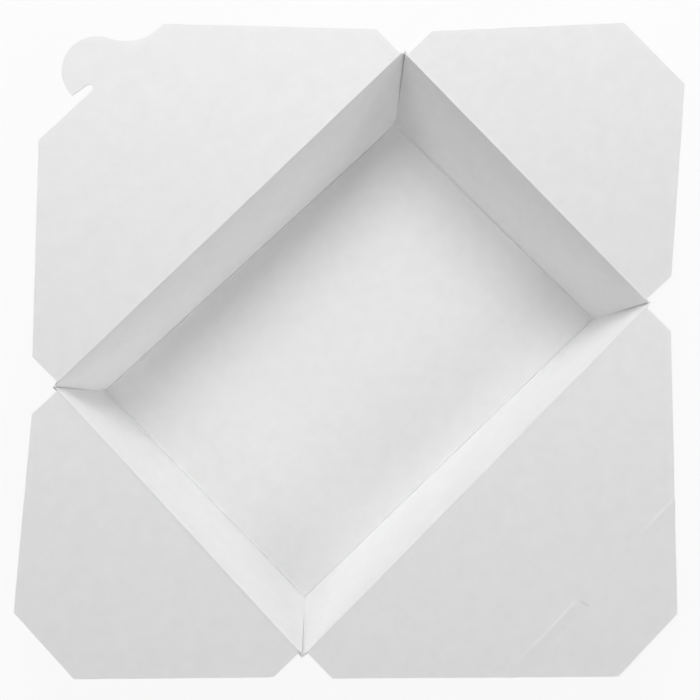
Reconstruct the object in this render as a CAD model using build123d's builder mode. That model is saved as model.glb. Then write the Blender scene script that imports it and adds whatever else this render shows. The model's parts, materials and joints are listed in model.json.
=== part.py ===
"""Paper food container: a take-out box folded from one sheet of white paperboard, standing open.

X runs along the long walls, Y points to the flap with the hook, Z points up.
The origin is the middle of the underside. Lengths are in millimetres, angles in degrees.
"""

import os
from math import asin, atan, cos, degrees, radians, sin, tan

from build123d import *

# The sheet: every crease raises a bead on its inner side
board = 0.46
bead_share = 0.74
fold_radius = 0.76

# The tray: underside, height of the end flaps' creases above the table, lean of the walls from upright
base_length = 197
base_width = 139.7
wall_height = 47.6
wall_lean = 10.9

# The open box has racked: its long rims have turned against the floor, and the rims of its ends have slid along
rack_turn = 1.4

# The rim creases: each flap that closes over another is creased one board higher
hinge_clearance = 0.06
lap_clearance = 0.1
corner_gap = 2.3

# The web corners: two folded leaves glued to each end wall, with a slit inside that opens towards the rim
web_leaves = 2
web_foot = 1.6
web_edge_share = 0.8
slit_width = 0.8
slit_start_share = 0.3

# The flaps: straight shoulder beside the crease, reach from crease to tip, width of the tip, tilt as it stands open
shoulder = 15.2
hook_flap_reach = 81.3
slot_flap_reach = 101.6
end_flap_reach = 76.7
slot_flap_tip = 37.2
end_flap_tip = 38
hook_flap_tilt = 5
slot_flap_tilt = -1
right_flap_tilt = 9
left_flap_tilt = -1

# The hook: a round tab on a neck, undercut on one side and hollowed on the other
hook_radius = 15.6
hook_shift = 1.9
hook_rise = 4.3
hollow_radius = 21.7
tip_land = 2.8
undercut_end = 4.2
undercut_width = 3.3
hook_point_round = 0.6

# The lock slot: a cut with slanted ends beyond a score line, which is pressed on either side of it
# The cut is a knife's width, and gapes at its near end
score_reach = 67.1
score_width = 0.9
score_depth = 0.12
slot_depth = 4.7
slot_near_end = 6.8
slot_far_end = 27.5
slot_near_slant = 1.1
slot_far_slant = 3.6
slot_cut = 0.2
slot_gape = 0.45

# Spare length of every cutting tool
overrun = 5

lean = radians(wall_lean)
bead_radius = bead_share * board
lap_step = board + lap_clearance
end_rim = wall_height
slot_rim = end_rim + lap_step
hook_rim = slot_rim + lap_step
sheet_top = hook_rim + lap_step
mid_inset = board / 2 / cos(lean)
inner_inset = board / cos(lean)
web_thickness = web_leaves * board
bead_tail = board / 4


def wall_reach(half_base, height, inset=0):
    """How far a leaning wall stands from the middle at a height: its outer face, or a face set in from it."""
    return half_base + height * tan(lean) - inset


def wall_profile(half_base, low, high, inset):
    """Corners of the flared section between two heights."""
    low_reach = wall_reach(half_base, low, inset)
    high_reach = wall_reach(half_base, high, inset)
    return [(-low_reach, low), (low_reach, low), (high_reach, high), (-high_reach, high)]


def rack_slope(height):
    """Slope in Y of the racked long walls at a height, level along the box."""
    return tan(radians(rack_turn)) * height / wall_height


def rack(along, height):
    """How far the racked walls have slid in Y at a place along the box and a height."""
    return along * rack_slope(height)


def long_profile(along, low, high, inset):
    """Corners of the section between the long walls at a place along the box."""
    return [(y + rack(along, z), z) for y, z in wall_profile(half_width, low, high, inset)]


def wall_plane(point, outward):
    """Plane along a wall through a point, with x level, y up the slope and z outwards."""
    return Plane(
        origin=point,
        x_dir=(-outward[1], outward[0], 0),
        z_dir=(outward[0] * cos(lean), outward[1] * cos(lean), -sin(lean)),
    )


def flap_plane(point, outward, tilt):
    """Plane of an open flap, with x along its crease, y towards its tip and z up."""
    rise = radians(tilt)
    return Plane(
        origin=point,
        x_dir=(outward[1], -outward[0], 0),
        z_dir=(-outward[0] * sin(rise), -outward[1] * sin(rise), cos(rise)),
    )


def crease_section(point, outward):
    """Plane square to a crease."""
    return Plane(origin=point, x_dir=(*outward, 0), z_dir=(-outward[1], outward[0], 0))


half_length = base_length / 2
half_width = base_width / 2
floor_length = 2 * wall_reach(half_length, board, inner_inset)
floor_width = 2 * wall_reach(half_width, board, inner_inset)
end_hinge = wall_reach(half_length, end_rim, mid_inset)
long_crease = end_hinge - corner_gap
end_crease = wall_reach(half_width, end_rim, mid_inset) - corner_gap

# Each rim crease: its middle, and the level direction square to it, outwards
hook_turn = atan(rack_slope(hook_rim))
slot_turn = atan(rack_slope(slot_rim))
hook_crease = ((0, wall_reach(half_width, hook_rim, mid_inset), hook_rim), (-sin(hook_turn), cos(hook_turn)))
slot_crease = ((0, -wall_reach(half_width, slot_rim, mid_inset), slot_rim), (sin(slot_turn), -cos(slot_turn)))
right_crease = ((end_hinge, rack(end_hinge, end_rim), end_rim), (1, 0))
left_crease = ((-end_hinge, rack(-end_hinge, end_rim), end_rim), (-1, 0))

end_slope = end_rim / cos(lean)


def corner_place(end, slope, inset=0):
    """Where the corner edge stands across an end wall, at a distance up its slope."""
    height = slope * cos(lean)
    return end * wall_reach(half_width, height, inset) + rack(wall_reach(half_length, height, inset), height)


def web_outline(end):
    """Corners of a web: its fold runs in from the wall's foot, and its cut edge falls from the rim, square to the fold."""
    apex = corner_place(end, web_foot)
    rim_end = corner_place(end, end_slope)
    corner_lean = atan(end * (rim_end - apex) / (end_slope - web_foot))
    fold_lean = radians(45) - 2 * corner_lean
    fold_length = (end_slope - web_foot) / cos(corner_lean) * cos(radians(45) - corner_lean)
    return [
        (apex, web_foot),
        (rim_end + end * overrun, web_foot),
        (rim_end + end * overrun, end_slope),
        (rim_end, end_slope),
        (apex - end * fold_length * sin(fold_lean), web_foot + fold_length * cos(fold_lean)),
    ]


def slit_outline(end):
    """Corners of a slit, which opens along the inner corner edge towards the rim and cuts just into the long wall."""
    foot_slope = slit_start_share * end_slope
    foot = corner_place(end, foot_slope, inner_inset)
    top = corner_place(end, end_slope, inner_inset)
    return [
        (foot, foot_slope),
        (foot + end * bead_tail, foot_slope),
        (top + end * bead_tail, end_slope),
        (top - end * slit_width, end_slope),
    ]


# The hook's round and hollow touch along the line between their centres, and the hollow runs out on the tip's edge
hook_centre = (hook_shift, hook_flap_reach + hook_rise)
hook_point = (hook_shift - hook_radius, hook_flap_reach + hook_rise)
undercut_centre = (-undercut_end - undercut_width / 2, hook_flap_reach + undercut_width / 2)
hollow_turn = degrees(asin((hollow_radius - hook_rise) / (hook_radius + hollow_radius)))
hollow_offset = (hook_radius + hollow_radius) * cos(radians(hollow_turn))
hollow_centre = (hook_shift + hollow_offset, hook_flap_reach + hollow_radius)
hook_tip_half = hollow_centre[0] + tip_land


def flap_outline(crease, reach, tip):
    """Corners of a flap: straight shoulders beside the crease, then slanted sides to the tip."""
    return [
        (-crease, 0),
        (-crease, shoulder),
        (-tip / 2, reach),
        (tip / 2, reach),
        (crease, shoulder),
        (crease, 0),
    ]


# Hollow of the tray: the inner faces of floor and walls
with BuildPart() as hollow:
    with BuildSketch(Plane.XZ):
        Polygon(*wall_profile(half_length, board, sheet_top + overrun, inner_inset), align=None)
    extrude(amount=base_width, both=True)
    for along in (-base_length, base_length):
        with BuildSketch(Plane.YZ.offset(along)):
            Polygon(*long_profile(along, board, sheet_top + overrun, inner_inset), align=None)
    loft(ruled=True, mode=Mode.INTERSECT)

# Tray: floor, four walls, the folded webs, and a bead along each crease
with BuildPart() as tray:
    with BuildSketch(Plane.XZ):
        Polygon(*wall_profile(half_length, 0, sheet_top, 0), align=None)
    extrude(amount=base_width, both=True)
    end_walls = [wall_plane((side * half_length, 0, 0), (side, 0)) for side in (1, -1)]
    for outwards in end_walls:
        with BuildSketch(outwards):
            for end in (1, -1):
                Polygon(*web_outline(end), align=None)
        extrude(amount=web_thickness)
    for along in (-base_length, base_length):
        with BuildSketch(Plane.YZ.offset(along)):
            Polygon(*long_profile(along, 0, sheet_top, 0), align=None)
    loft(ruled=True, mode=Mode.INTERSECT)
    fillet(tray.faces().sort_by(Axis.Z)[0].edges(), radius=fold_radius)
    for outwards in end_walls:
        leaves = tray.faces().filter_by(outwards).sort_by(Axis((0, 0, 0), outwards.z_dir))[-2:]
        for leaf in leaves:
            fillet(leaf.edges().sort_by(Axis.Z)[:2], radius=web_edge_share * board)
    add(hollow.part, mode=Mode.SUBTRACT)

    # Each wall stops at its crease, square to the sheet
    for crease, depth in (
        (right_crease, web_thickness + board),
        (left_crease, web_thickness + board),
        (hook_crease, board),
        (slot_crease, board),
    ):
        with BuildSketch(wall_plane(*crease)):
            Rectangle(2 * base_length, overrun, align=(Align.CENTER, Align.MIN))
        extrude(amount=depth, both=True, mode=Mode.SUBTRACT)

    # Inside each corner the end wall folds back into its web, and the fold opens from the long wall towards the rim
    for side in (1, -1):
        with BuildSketch(wall_plane((side * (half_length - inner_inset), 0, 0), (side, 0))):
            for end in (1, -1):
                Polygon(*slit_outline(end), align=None)
        extrude(amount=web_thickness, mode=Mode.SUBTRACT)

    # Beads of the floor creases, which end in the walls, and of the rim creases
    with BuildSketch(Plane.YZ):
        with Locations((floor_width / 2, board), (-floor_width / 2, board)):
            Circle(bead_radius)
    extrude(amount=floor_length / 2 + bead_tail, both=True)
    with BuildSketch(Plane.XZ):
        with Locations((floor_length / 2, board), (-floor_length / 2, board)):
            Circle(bead_radius)
    extrude(amount=floor_width / 2 + bead_tail, both=True)
    for crease, half in (
        (hook_crease, long_crease),
        (slot_crease, long_crease),
        (right_crease, end_crease),
        (left_crease, end_crease),
    ):
        with BuildSketch(crease_section(*crease)):
            Circle(bead_radius)
        extrude(amount=half, both=True)

# Hook flap, with its tab
with BuildPart() as hook_flap:
    with BuildSketch(flap_plane(*hook_crease, hook_flap_tilt)) as hook_outline:
        with BuildLine():
            Polyline(
                (hook_tip_half, hook_flap_reach),
                (long_crease, shoulder),
                (long_crease, 0),
                (-long_crease, 0),
                (-long_crease, shoulder),
                (-hook_tip_half, hook_flap_reach),
                (undercut_centre[0], hook_flap_reach),
            )
            CenterArc(undercut_centre, undercut_width / 2, start_angle=-90, arc_size=180)
            Line((undercut_centre[0], hook_flap_reach + undercut_width), hook_point)
            CenterArc(hook_centre, hook_radius, start_angle=180, arc_size=hollow_turn - 180)
            CenterArc(hollow_centre, hollow_radius, start_angle=180 + hollow_turn, arc_size=90 - hollow_turn)
            Line((hollow_centre[0], hook_flap_reach), (hook_tip_half, hook_flap_reach))
        make_face()
        fillet(hook_outline.vertices().sort_by_distance(hook_point)[0], radius=hook_point_round)
    extrude(amount=board / 2, both=True)
    with BuildSketch(crease_section(*hook_crease)):
        Circle(bead_radius + hinge_clearance)
    extrude(amount=base_length, both=True, mode=Mode.SUBTRACT)

# Slot flap: the lock slot is cut through, and the score is pressed into the upper face on either side of it
with BuildPart() as slot_flap:
    slot_sheet = flap_plane(*slot_crease, slot_flap_tilt)
    with BuildSketch(slot_sheet):
        Polygon(*flap_outline(long_crease, slot_flap_reach, slot_flap_tip), align=None)
        with BuildLine():
            Polyline(
                (-slot_far_end - slot_far_slant, score_reach),
                (-slot_far_end, score_reach + slot_depth),
                (slot_near_end, score_reach + slot_depth),
                (slot_near_end + slot_near_slant, score_reach),
            )
        trace(line_width=slot_cut, mode=Mode.SUBTRACT)
        with BuildLine():
            Line((slot_near_end, score_reach + slot_depth), (slot_near_end + slot_near_slant, score_reach))
        trace(line_width=slot_gape, mode=Mode.SUBTRACT)
    extrude(amount=board / 2, both=True)
    with BuildSketch(slot_sheet.offset(board / 2)):
        with Locations((slot_near_end + slot_near_slant, score_reach)):
            Rectangle(long_crease, score_width, align=(Align.MIN, Align.CENTER))
        with Locations((-slot_far_end - slot_far_slant, score_reach)):
            Rectangle(long_crease, score_width, align=(Align.MAX, Align.CENTER))
    extrude(amount=-score_depth, mode=Mode.SUBTRACT)
    with BuildSketch(crease_section(*slot_crease)):
        Circle(bead_radius + hinge_clearance)
    extrude(amount=base_length, both=True, mode=Mode.SUBTRACT)

# Right end flap
with BuildPart() as right_end_flap:
    with BuildSketch(flap_plane(*right_crease, right_flap_tilt)):
        Polygon(*flap_outline(end_crease, end_flap_reach, end_flap_tip), align=None)
    extrude(amount=board / 2, both=True)
    with BuildSketch(crease_section(*right_crease)):
        Circle(bead_radius + hinge_clearance)
    extrude(amount=base_width, both=True, mode=Mode.SUBTRACT)

# Left end flap
with BuildPart() as left_end_flap:
    with BuildSketch(flap_plane(*left_crease, left_flap_tilt)):
        Polygon(*flap_outline(end_crease, end_flap_reach, end_flap_tip), align=None)
    extrude(amount=board / 2, both=True)
    with BuildSketch(crease_section(*left_crease)):
        Circle(bead_radius + hinge_clearance)
    extrude(amount=base_width, both=True, mode=Mode.SUBTRACT)

tray.part.label = "tray"
hook_flap.part.label = "hook_flap"
slot_flap.part.label = "slot_flap"
right_end_flap.part.label = "right_end_flap"
left_end_flap.part.label = "left_end_flap"

os.makedirs("parts", exist_ok=True)
for piece in (tray, hook_flap, slot_flap, right_end_flap, left_end_flap):
    export_step(piece.part, f"parts/{piece.part.label}.step")
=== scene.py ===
"""Looks of the paper food container: a take-out box folded from white paperboard, standing open.

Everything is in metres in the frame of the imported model: X along the long walls, Y to the hook flap, Z up.
"""

import json
from math import atan2, copysign, cos, hypot, radians, sin, tan

import bpy
from mathutils import Euler, Matrix, Vector
from mathutils.geometry import intersect_point_line


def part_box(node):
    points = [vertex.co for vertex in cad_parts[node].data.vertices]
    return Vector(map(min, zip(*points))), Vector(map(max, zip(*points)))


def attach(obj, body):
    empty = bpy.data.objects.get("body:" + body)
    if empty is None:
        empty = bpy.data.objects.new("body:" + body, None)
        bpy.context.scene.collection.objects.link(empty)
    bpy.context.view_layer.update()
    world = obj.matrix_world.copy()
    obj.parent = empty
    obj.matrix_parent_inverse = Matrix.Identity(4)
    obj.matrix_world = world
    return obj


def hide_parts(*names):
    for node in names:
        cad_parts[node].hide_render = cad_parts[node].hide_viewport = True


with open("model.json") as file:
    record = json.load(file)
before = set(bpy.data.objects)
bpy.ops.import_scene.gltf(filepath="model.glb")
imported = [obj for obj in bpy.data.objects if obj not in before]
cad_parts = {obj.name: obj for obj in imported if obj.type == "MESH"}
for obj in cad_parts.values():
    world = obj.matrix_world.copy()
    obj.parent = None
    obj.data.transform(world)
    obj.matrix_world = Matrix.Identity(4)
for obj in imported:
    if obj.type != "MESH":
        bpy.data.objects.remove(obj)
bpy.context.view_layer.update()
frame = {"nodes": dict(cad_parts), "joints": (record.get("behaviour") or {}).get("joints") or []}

axis_x = Vector((1, 0, 0))
axis_y = Vector((0, 1, 0))
axis_z = Vector((0, 0, 1))

# A point on the rim crease that each flap turns on
rim = {joint["child"]: Vector(joint["pos_m"]) for joint in frame["joints"]}

# The sheet: its thickness, the spacing of the cuts that let it warp, the round of its cut edges,
# and the turn up to which its faces are shaded as one
board = 0.00046
cell = 0.004
edge_round = 0.00006
edge_steps = 2
edge_turn = radians(60)
smooth_turn = radians(35)

# What counts as one point, as on a cut, as facing up and as flat
same_point = 0.000002
on_plane = 0.0000001
facing_up = 0.9
flat_turn = radians(1)

# Warp of each flap: rise of the tip, and of the middle against the sides
# The hook flap closes last and may only curl away from the box
# The end flaps close first and may only curl into it
flap_warp = {
    "hook_flap": (-0.0008, -0.0004),
    "slot_flap": (0.0, 0.0),
    "right_end_flap": (0.0006, 0.0004),
    "left_end_flap": (0.0004, 0.0003),
}

# Each flap's sheet is grown over the hollow of the CAD edge to the middle of its crease,
# and swells towards it, up to the bead on the rim that it turns on
crease_hollow = 2 * board
crease_swell = 0.00011
crease_run = 0.0015
crease_cut = 0.0003

# The score across the slot flap: a low bead, steep towards the crease and gentle towards the tip,
# the cuts that round it, how far its ends by the lock slot taper out,
# and how far past the slot's near end it fades, and to what share
score_reach = 0.0671
score_rise = 0.00028
score_front = 0.0012
score_back = 0.0045
score_cut = 0.0003
score_taper = 0.0015
score_fade = 0.065
score_faint = 0.4

# The lock slot: its line in the plane of the slot flap, from its far end to its near end,
# how far from the line its CAD lips lie at most, and the share of that which stays open
slot_line = ((-0.0311, 0.0671), (-0.0275, 0.0718), (0.0068, 0.0718), (0.0079, 0.0671))
slot_gape = 0.0004
lip_share = 0.03
slot_far = slot_line[0][0]
tongue_far = slot_line[1][0]
slot_near = slot_line[3][0]

# The slot's near end: its corner by the tongue's tip, and the direction from there into the tongue
near_corner, near_root = [Vector((x, y, 0)) for x, y in slot_line[2:]]
near_line = near_root - near_corner
into_tongue = Vector((near_line.y, -near_line.x, 0)).normalized()

# The die rounds the tongue's edge down along its near end, less so towards its root,
# and along its tip by the far end
lip_drop = 0.00045
lip_round = 0.0014
lip_steps = 4
lip_taper_share = 0.25
far_drop = 0.00025
far_run = 0.009

# The floor creases: where their lines stand from the middle, the CAD bead on them,
# and the wall's turn from the floor
crease_x = 0.09812
crease_y = 0.06947
cad_bead = 0.00034
wall_turn = radians(100.9)

# The bead that pressing raises along a floor crease: its middle, inwards and up from the crease line,
# its radius, where its round starts on the floor and ends near the wall, the wall's foot there,
# its share of the fold, how far from the line it reaches, its cuts, and how far from a corner it is whole
bead_middle = Vector((0.0005, 0.00012))
bead_radius = 0.00045
bead_start = radians(-15)
bead_end = radians(150)
bead_foot = 0.00036
bead_share = 0.7
bead_reach = 0.00093
bead_cuts = (0.00045, 0.0006, 0.00075, bead_reach)
bead_grow = 0.004

# What still counts as the floor, the wall and the CAD bead: two turns, in radians, and a distance
floor_slack = 0.01
wall_slack = 0.1
bead_slack = 10 * same_point

# The corner of the hook wall and the right end wall is folded softly: how far the fold's line stands in
# from the sharp corner, how far round the line the sheet bends, how far along it the softness runs,
# and the cuts round it and along it
soft_push = 0.0024
soft_reach = 0.0068
soft_run = 0.012
soft_cut = 0.001
soft_cut_along = 0.002

# Warp of the tray: slip of the floor's long sides along the walls, to the right end where it is positive,
# crown of the floor, and bulge of each wall, outwards where it is positive
hook_side_slip = -0.0026
slot_side_slip = 0.0007
floor_crown = 0.0006
hook_wall_bulge = -0.0005
slot_wall_bulge = 0.0005
right_wall_bulge = 0.0003
left_wall_bulge = 0.0004

# The camera, matched to the photograph: what it looks at, how far it stands, its turn,
# its lens and sensor in millimetres, and the nearest that it sees
camera_target = Vector((0.000243, 0.002176, 0))
camera_distance = 0.431148
camera_turn = Euler((0.08759, -0.01991, -0.757))
camera_lens = 44.983
camera_sensor = 36
camera_nearest = 0.01


def within(share):
    """A share kept between 0 and 1."""
    return min(1, max(0, share))


def hill(share):
    """Rounded off from 1 at 0 to nothing at 1 and beyond, to both sides."""
    return max(0, 1 - share ** 2)


def arch(share):
    """Rises from nothing at 0 to 1 halfway, and falls to nothing at 1."""
    return 4 * share * max(0, 1 - share)


def linear(code):
    """Linear colour of an sRGB hex value."""
    colour = []
    for place in (0, 2, 4):
        share = int(code[place:place + 2], 16) / 255
        colour.append(share / 12.92 if share <= 0.04045 else ((share + 0.055) / 1.055) ** 2.4)
    return colour + [1]


def put(tree, kind, inputs=None, **settings):
    """Adds a node with its settings, and links or sets its inputs."""
    node = tree.nodes.new(kind)
    for name, value in settings.items():
        setattr(node, name, value)
    for socket, value in (inputs or {}).items():
        if isinstance(value, bpy.types.NodeSocket):
            tree.links.new(value, node.inputs[socket])
        else:
            node.inputs[socket].default_value = value
    return node


def bleached_paperboard():
    """Bleached paperboard, machine finished: white and matt, faintly cloudy, with a fine felt grain."""
    cloud_size = 0.007
    # The marks of the felt are drawn a little coarser than they are, so that they show
    grain_size = 0.0008
    grain_depth = 0.000014
    # The open fibre of the face scatters most of the gloss
    gloss_level = 0.25
    smoothest = 0.74
    roughest = 0.9
    material = bpy.data.materials.new("bleached_paperboard")
    material.use_nodes = True
    tree = material.node_tree
    shader = tree.nodes["Principled BSDF"]
    place = put(tree, "ShaderNodeTexCoord").outputs["Object"]
    clouds = put(
        tree,
        "ShaderNodeTexNoise",
        {"Vector": place, "Scale": 1 / cloud_size, "Detail": 4.0, "Roughness": 0.65},
    )
    grain = put(tree, "ShaderNodeTexNoise", {"Vector": place, "Scale": 1 / grain_size, "Detail": 2.0})
    tint = put(
        tree,
        "ShaderNodeMix",
        {"Factor": clouds.outputs["Fac"], "A": linear("EEEEEE"), "B": linear("F7F7F7")},
        data_type="RGBA",
    )
    roughness = put(
        tree,
        "ShaderNodeMapRange",
        {"Value": grain.outputs["Fac"], "To Min": smoothest, "To Max": roughest},
    )
    relief = put(
        tree,
        "ShaderNodeBump",
        {"Height": grain.outputs["Fac"], "Distance": grain_depth, "Strength": 1.0},
    )
    tree.links.new(tint.outputs["Result"], shader.inputs["Base Color"])
    tree.links.new(roughness.outputs["Result"], shader.inputs["Roughness"])
    tree.links.new(relief.outputs["Normal"], shader.inputs["Normal"])
    shader.inputs["Specular IOR Level"].default_value = gloss_level
    return material


def cut_board_edge():
    """The edge that the die leaves on the board: bare fibre, a little warmer than the faces."""
    # The fibres are drawn some ten times as coarse as they are, so that they show
    fibre_size = 0.0003
    fibre_depth = 0.00003
    fibre_roughness = 0.85
    material = bpy.data.materials.new("cut_board_edge")
    material.use_nodes = True
    tree = material.node_tree
    shader = tree.nodes["Principled BSDF"]
    place = put(tree, "ShaderNodeTexCoord").outputs["Object"]
    fibres = put(tree, "ShaderNodeTexNoise", {"Vector": place, "Scale": 1 / fibre_size, "Detail": 3.0})
    tint = put(
        tree,
        "ShaderNodeMix",
        {"Factor": fibres.outputs["Fac"], "A": linear("E4E2DD"), "B": linear("F2F1EE")},
        data_type="RGBA",
    )
    relief = put(
        tree,
        "ShaderNodeBump",
        {"Height": fibres.outputs["Fac"], "Distance": fibre_depth, "Strength": 1.0},
    )
    tree.links.new(tint.outputs["Result"], shader.inputs["Base Color"])
    tree.links.new(relief.outputs["Normal"], shader.inputs["Normal"])
    shader.inputs["Roughness"].default_value = fibre_roughness
    return material


def copy_of(node, name):
    """A merged copy of a CAD node's mesh, alone in the selection and in edit mode."""
    bpy.ops.object.select_all(action="DESELECT")
    piece = bpy.data.objects.new(name, node.data.copy())
    bpy.context.scene.collection.objects.link(piece)
    bpy.context.view_layer.objects.active = piece
    piece.select_set(True)
    piece.data.materials.clear()
    bpy.ops.object.mode_set(mode="EDIT")
    bpy.ops.mesh.select_all(action="SELECT")
    bpy.ops.mesh.remove_doubles(threshold=same_point)
    return piece


def cut_at(axis, places):
    """Cuts the mesh in edit mode at places along an axis."""
    for place in places:
        bpy.ops.mesh.select_all(action="SELECT")
        bpy.ops.mesh.bisect(plane_co=axis * place, plane_no=axis, threshold=on_plane)


def cut_across(axis, low, high, spacing):
    """Cuts the mesh in edit mode at equal steps along an axis."""
    steps = round((high - low) / spacing)
    cut_at(axis, [low + (high - low) * step / steps for step in range(1, steps)])


def finish(piece, kind, **settings):
    """Adds a modifier to a piece and applies it."""
    modifier = piece.modifiers.new(kind.lower(), kind)
    for name, value in settings.items():
        setattr(modifier, name, value)
    bpy.ops.object.modifier_apply(modifier=modifier.name)


def flap_frame(joint):
    """Frame of an open flap: X along its crease, Y towards its tip, Z up."""
    widest = max(frame["nodes"][joint["child"]].data.polygons, key=lambda face: face.area)
    up = widest.normal if widest.normal.z > 0 else -widest.normal
    along = Vector(joint["axis"])
    turn = Matrix((along, up.cross(along), up)).transposed()
    return Matrix.Translation(joint["pos_m"]) @ turn.to_4x4()


def flat_sheet(node, name, place):
    """The upper face of a flap, laid flat in the flap's own frame and grown to the middle of its crease."""
    piece = copy_of(node, name)
    bpy.ops.mesh.select_mode(type="FACE")
    bpy.ops.mesh.select_all(action="DESELECT")
    bpy.ops.object.mode_set(mode="OBJECT")
    piece.data.transform(place.inverted())
    piece.data.update()
    for face in piece.data.polygons:
        face.select = face.normal.z < facing_up
    bpy.ops.object.mode_set(mode="EDIT")
    bpy.ops.mesh.delete(type="FACE")
    bpy.ops.mesh.select_all(action="SELECT")
    bpy.ops.transform.resize(value=(1, 1, 0), center_override=(0, 0, 0))
    bpy.ops.mesh.remove_doubles(threshold=same_point)
    bpy.ops.mesh.dissolve_limited(angle_limit=flat_turn)
    bpy.ops.object.mode_set(mode="OBJECT")
    for vertex in piece.data.vertices:
        if vertex.co.y < crease_hollow:
            vertex.co.y = 0
    return piece


def in_tongue(point):
    """Whether a point of the slot flap is on the tongue that the lock slot cuts free."""
    inside = (point - near_corner).dot(into_tongue) > 0
    return score_reach < point.y < near_corner.y and point.x > tongue_far and inside


def close_slot(piece):
    """Lays the slot's lips together, as a die leaves them, and cuts the tongue along the near end."""
    line = [Vector((x, y, 0)) for x, y in slot_line]
    for vertex in piece.data.vertices:
        feet = []
        for start, end in zip(line, line[1:]):
            foot, share = intersect_point_line(vertex.co, start, end)
            feet.append(start if share < 0 else end if share > 1 else foot)
        foot = min(feet, key=lambda point: (vertex.co - point).length)
        if (vertex.co - foot).length < slot_gape:
            at_end = foot in (line[0], line[-1])
            vertex.co = foot if at_end else foot.lerp(vertex.co, lip_share)
    bpy.ops.object.mode_set(mode="EDIT")
    bpy.ops.mesh.select_all(action="SELECT")
    bpy.ops.mesh.remove_doubles(threshold=same_point)
    cut_at(axis_y, [score_reach])
    for step in range(1, lip_steps + 1):
        bpy.ops.mesh.select_all(action="DESELECT")
        bpy.ops.object.mode_set(mode="OBJECT")
        for face in piece.data.polygons:
            face.select = in_tongue(face.center)
        bpy.ops.object.mode_set(mode="EDIT")
        place = near_corner + into_tongue * lip_round * step / lip_steps
        bpy.ops.mesh.bisect(plane_co=place, plane_no=into_tongue, threshold=on_plane)
    bpy.ops.object.mode_set(mode="OBJECT")


def pressed_height(point):
    """Height that a point of the slot flap is pressed to: the score's bead and the tongue's round edge."""
    beside = max(slot_far - point.x, point.x - slot_near)
    past = point.y - score_reach
    bead = hill(past / (score_front if past < 0 else score_back)) ** 2
    fade = max(score_faint, 1 - (max(0, point.x - slot_near) / score_fade) ** 2)
    height = score_rise * within(beside / score_taper) * fade * bead
    if in_tongue(point):
        near_round = max(0, 1 - (point - near_corner).dot(into_tongue) / lip_round)
        out = past / (near_corner.y - score_reach)
        height -= lip_drop * near_round ** 2 * min(1, out / lip_taper_share)
        tip_round = max(0, 1 - (near_corner.y - point.y) / lip_round)
        by_far_end = max(0, 1 - (point.x - tongue_far) / far_run)
        height -= far_drop * by_far_end * tip_round ** 2
    return height


def flap(joint):
    """A flap cut from the CAD outline: a sheet that starts in the crease, warps, and has soft cut edges."""
    name = joint["child"]
    has_slot = name == "slot_flap"
    place = flap_frame(joint)
    tip_rise, crown = flap_warp[name]
    piece = flat_sheet(frame["nodes"][name], f"{name}_sheet", place)
    if has_slot:
        close_slot(piece)
    half = max(vertex.co.x for vertex in piece.data.vertices)
    reach = max(vertex.co.y for vertex in piece.data.vertices)
    bpy.ops.object.mode_set(mode="EDIT")
    cut_across(axis_x, -half, half, cell)
    cut_across(axis_y, 0, reach, cell)
    cut_across(axis_y, 0, crease_run + crease_cut, crease_cut)
    if has_slot:
        score_start = score_reach - score_front - score_cut
        score_end = score_reach + score_back + score_cut
        cut_across(axis_y, score_start, score_end, score_cut)
    bpy.ops.object.mode_set(mode="OBJECT")
    for vertex in piece.data.vertices:
        out = vertex.co.y / reach
        across = vertex.co.x / half
        by_crease = max(0, 1 - vertex.co.y / crease_run)
        curl = tip_rise * out ** 2 + crown * arch(out) * (1 - across ** 2)
        vertex.co.z += curl + crease_swell * by_crease ** 2
        if has_slot:
            vertex.co.z += pressed_height(vertex.co)
    piece.data.materials.append(paperboard)
    piece.data.materials.append(board_edge)
    finish(piece, "SOLIDIFY", thickness=board, offset=0, use_even_offset=True, material_offset_rim=1)
    finish(
        piece,
        "BEVEL",
        width=edge_round,
        segments=edge_steps,
        limit_method="ANGLE",
        angle_limit=edge_turn,
    )
    piece.data.transform(place)
    return piece


def press_bead(point, across, crease, corner):
    """Moves a point by a floor crease, inside the tray, onto the pressed bead or up the wall behind it."""
    inward = crease - abs(point[across])
    up = point.z - board
    away = hypot(inward, up)
    turn = atan2(up, inward)
    if away > bead_reach + same_point or not -floor_slack < turn < wall_turn + wall_slack:
        return
    flat = bead_reach - cad_bead
    arc = cad_bead * wall_turn
    if abs(away - cad_bead) < bead_slack:
        share = (flat + cad_bead * turn) / (2 * flat + arc)
    elif turn < wall_turn / 2:
        share = (bead_reach - away) / (2 * flat + arc)
    else:
        share = (flat + arc + away - cad_bead) / (2 * flat + arc)
    if share < bead_share:
        turn = bead_start + (bead_end - bead_start) * share / bead_share
        moved = bead_middle + bead_radius * Vector((cos(turn), sin(turn)))
    else:
        turn = max(turn, wall_turn - wall_slack)
        rise = bead_foot + (bead_reach - bead_foot) * (share - bead_share) / (1 - bead_share)
        moved = rise * Vector((cos(turn), sin(turn)))
    grow = soft_run if point.x > 0 and point.y > 0 else bead_grow
    grown = within((corner - abs(point[1 - across])) / grow)
    inward, up = Vector((inward, up)).lerp(moved, grown)
    point[across] = copysign(crease - inward, point[across])
    point.z = board + up


def soften_corner(point):
    """Moves a point by the soft corner in from the line where the floor meets the right end wall."""
    near = within(1 - (crease_y - point.y) / soft_run)
    away = hypot(crease_x - point.x, point.z - board)
    push = soft_push * near ** 2 * max(0, 1 - away / soft_reach) ** 2
    point.x -= push * cos(wall_turn / 2)
    point.y -= push * sin(wall_turn / 2) / tan(wall_turn)
    point.z += push * sin(wall_turn / 2)


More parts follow.
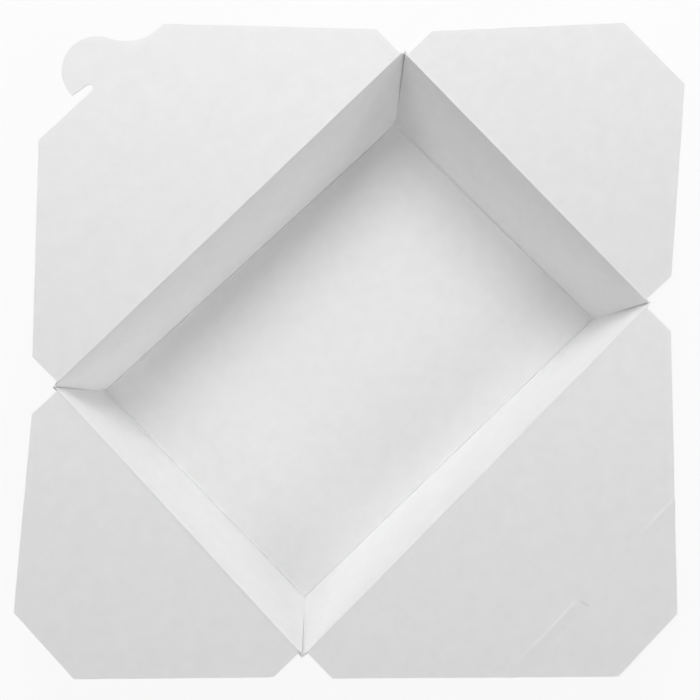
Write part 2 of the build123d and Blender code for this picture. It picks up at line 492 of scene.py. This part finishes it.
def warp_tray(point, top):
    """Moves a point of the tray by the bulge of its wall, the slip of the floor and the floor's crown."""
    x, y, z = point
    rise = z / top
    belly_x = arch(rise) * hill(y / rim["hook_flap"].y)
    belly_y = arch(rise) * hill(x / rim["right_end_flap"].x)
    slip = slot_side_slip + (hook_side_slip - slot_side_slip) * within((1 + y / crease_y) / 2)
    point.x += belly_x * (right_wall_bulge if x > 0 else -left_wall_bulge)
    point.x += slip * max(0, 1 - rise)
    point.y += belly_y * (hook_wall_bulge if y > 0 else -slot_wall_bulge)
    point.z += floor_crown * hill(x / crease_x) * hill(y / crease_y)


def tray():
    """The tray: the CAD fold with fuller beads on its floor creases, one soft corner and a little warp."""
    low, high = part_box("tray")
    piece = copy_of(frame["nodes"]["tray"], "tray_sheet")
    for axis, start, end in zip((axis_x, axis_y, axis_z), low, high):
        cut_across(axis, start, end, cell)
    for side in (1, -1):
        cut_at(axis_x, [side * (crease_x - cut) for cut in bead_cuts])
        cut_at(axis_y, [side * (crease_y - cut) for cut in bead_cuts])
    cut_at(axis_z, [board + cut for cut in bead_cuts])
    cut_across(axis_x, crease_x - soft_reach, crease_x - bead_reach, soft_cut)
    cut_across(axis_y, crease_y - soft_run, crease_y - bead_reach, soft_cut_along)
    cut_across(axis_z, board + bead_reach, board + soft_reach, soft_cut)
    bpy.ops.object.mode_set(mode="OBJECT")
    for vertex in piece.data.vertices:
        press_bead(vertex.co, 1, crease_y, crease_x)
        press_bead(vertex.co, 0, crease_x, crease_y)
        soften_corner(vertex.co)
        warp_tray(vertex.co, high.z)
    piece.data.materials.append(paperboard)
    return piece


def seen_rays(tree):
    """Whether a ray shows a surface as it looks, to the camera or in gloss or glass, and lights nothing."""
    rays = put(tree, "ShaderNodeLightPath")
    seen = rays.outputs["Is Camera Ray"]
    for kind in ("Is Glossy Ray", "Is Transmission Ray"):
        either = put(tree, "ShaderNodeMath", {0: seen, 1: rays.outputs[kind]}, operation="MAXIMUM")
        seen = either.outputs[0]
    return seen


def studio_floor():
    """The pale floor under the box, near white to the camera and greyer where the box shades it."""
    floor_size = 8
    floor_roughness = 0.9
    glow_share = 0.9
    bpy.ops.object.select_all(action="DESELECT")
    bpy.ops.mesh.primitive_plane_add(size=floor_size)
    piece = bpy.context.object
    piece.name = "studio_floor"
    material = bpy.data.materials.new("seamless_paper_floor")
    material.use_nodes = True
    tree = material.node_tree
    shader = tree.nodes["Principled BSDF"]
    shader.inputs["Base Color"].default_value = linear("E6E6E6")
    shader.inputs["Roughness"].default_value = floor_roughness
    share = put(tree, "ShaderNodeMath", {0: seen_rays(tree), 1: glow_share}, operation="MULTIPLY")
    glow = put(tree, "ShaderNodeEmission", {"Color": linear("FFFFFF"), "Strength": 1.0})
    mixed = put(
        tree,
        "ShaderNodeMixShader",
        {"Fac": share.outputs[0], 1: shader.outputs["BSDF"], 2: glow.outputs["Emission"]},
    )
    tree.links.new(mixed.outputs["Shader"], tree.nodes["Material Output"].inputs["Surface"])
    piece.data.materials.append(material)


def studio_room():
    """A white room that glows dimly, and looks as white as the floor far off, so that no horizon shows."""
    room_glow = 0.177
    room_white = 0.921
    surroundings = bpy.data.worlds.new("studio")
    bpy.context.scene.world = surroundings
    surroundings.use_nodes = True
    tree = surroundings.node_tree
    glow = put(
        tree,
        "ShaderNodeMapRange",
        {"Value": seen_rays(tree), "To Min": room_glow, "To Max": room_white},
    )
    background = tree.nodes["Background"]
    background.inputs["Color"].default_value = linear("FFFFFF")
    tree.links.new(glow.outputs["Result"], background.inputs["Strength"])


def studio_lamps():
    """Soft lamps round the box: two near, beyond its top corner in the picture, and the others far."""
    near = 0.9
    far = 2.5
    lamp_spread = 0.5
    ahead = (camera_turn.to_matrix() @ axis_y * Vector((1, 1, 0))).normalized()
    aside = Vector((ahead.y, -ahead.x, 0))
    # Name, degrees to the right of the picture's top, degrees above the floor, distance, and power in watts
    for name, azimuth, elevation, distance, power in (
        ("lamp_top_low", 0, 25, near, 1.215),
        ("lamp_top", 0, 45, near, 3.43),
        ("lamp_upper_left", -45, 25, far, 2.96),
        ("lamp_left", -90, 45, far, 11.45),
        ("lamp_right", 90, 25, far, 9.45),
        ("lamp_lower_right", 140, 45, far, 9.9),
    ):
        level = ahead * cos(radians(azimuth)) + aside * sin(radians(azimuth))
        towards = level * cos(radians(elevation)) + axis_z * sin(radians(elevation))
        lamp = bpy.data.objects.new(name, bpy.data.lights.new(name, "AREA"))
        bpy.context.scene.collection.objects.link(lamp)
        lamp.location = towards * distance
        lamp.rotation_euler = towards.to_track_quat("Z", "Y").to_euler()
        lamp.data.shape = "DISK"
        lamp.data.size = distance * lamp_spread
        lamp.data.energy = power


def photo_camera():
    """The camera, above the box and turned as the photograph is."""
    camera = bpy.data.objects.new("camera", bpy.data.cameras.new("camera"))
    bpy.context.scene.collection.objects.link(camera)
    camera.location = camera_target + camera_turn.to_matrix() @ axis_z * camera_distance
    camera.rotation_euler = camera_turn
    camera.data.lens = camera_lens
    camera.data.sensor_width = camera_sensor
    camera.data.clip_start = camera_nearest
    bpy.context.scene.camera = camera


paperboard = bleached_paperboard()
board_edge = cut_board_edge()
pieces = {"tray": tray()}
for joint in frame["joints"]:
    pieces[joint["child"]] = flap(joint)
for name, piece in pieces.items():
    bpy.ops.object.select_all(action="DESELECT")
    bpy.context.view_layer.objects.active = piece
    piece.select_set(True)
    bpy.ops.object.shade_smooth_by_angle(angle=smooth_turn)
    finish(piece, "WEIGHTED_NORMAL", keep_sharp=True)
    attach(piece, name)
    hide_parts(name)

studio_floor()
studio_room()
studio_lamps()
photo_camera()
bpy.context.scene.view_settings.view_transform = "Standard"
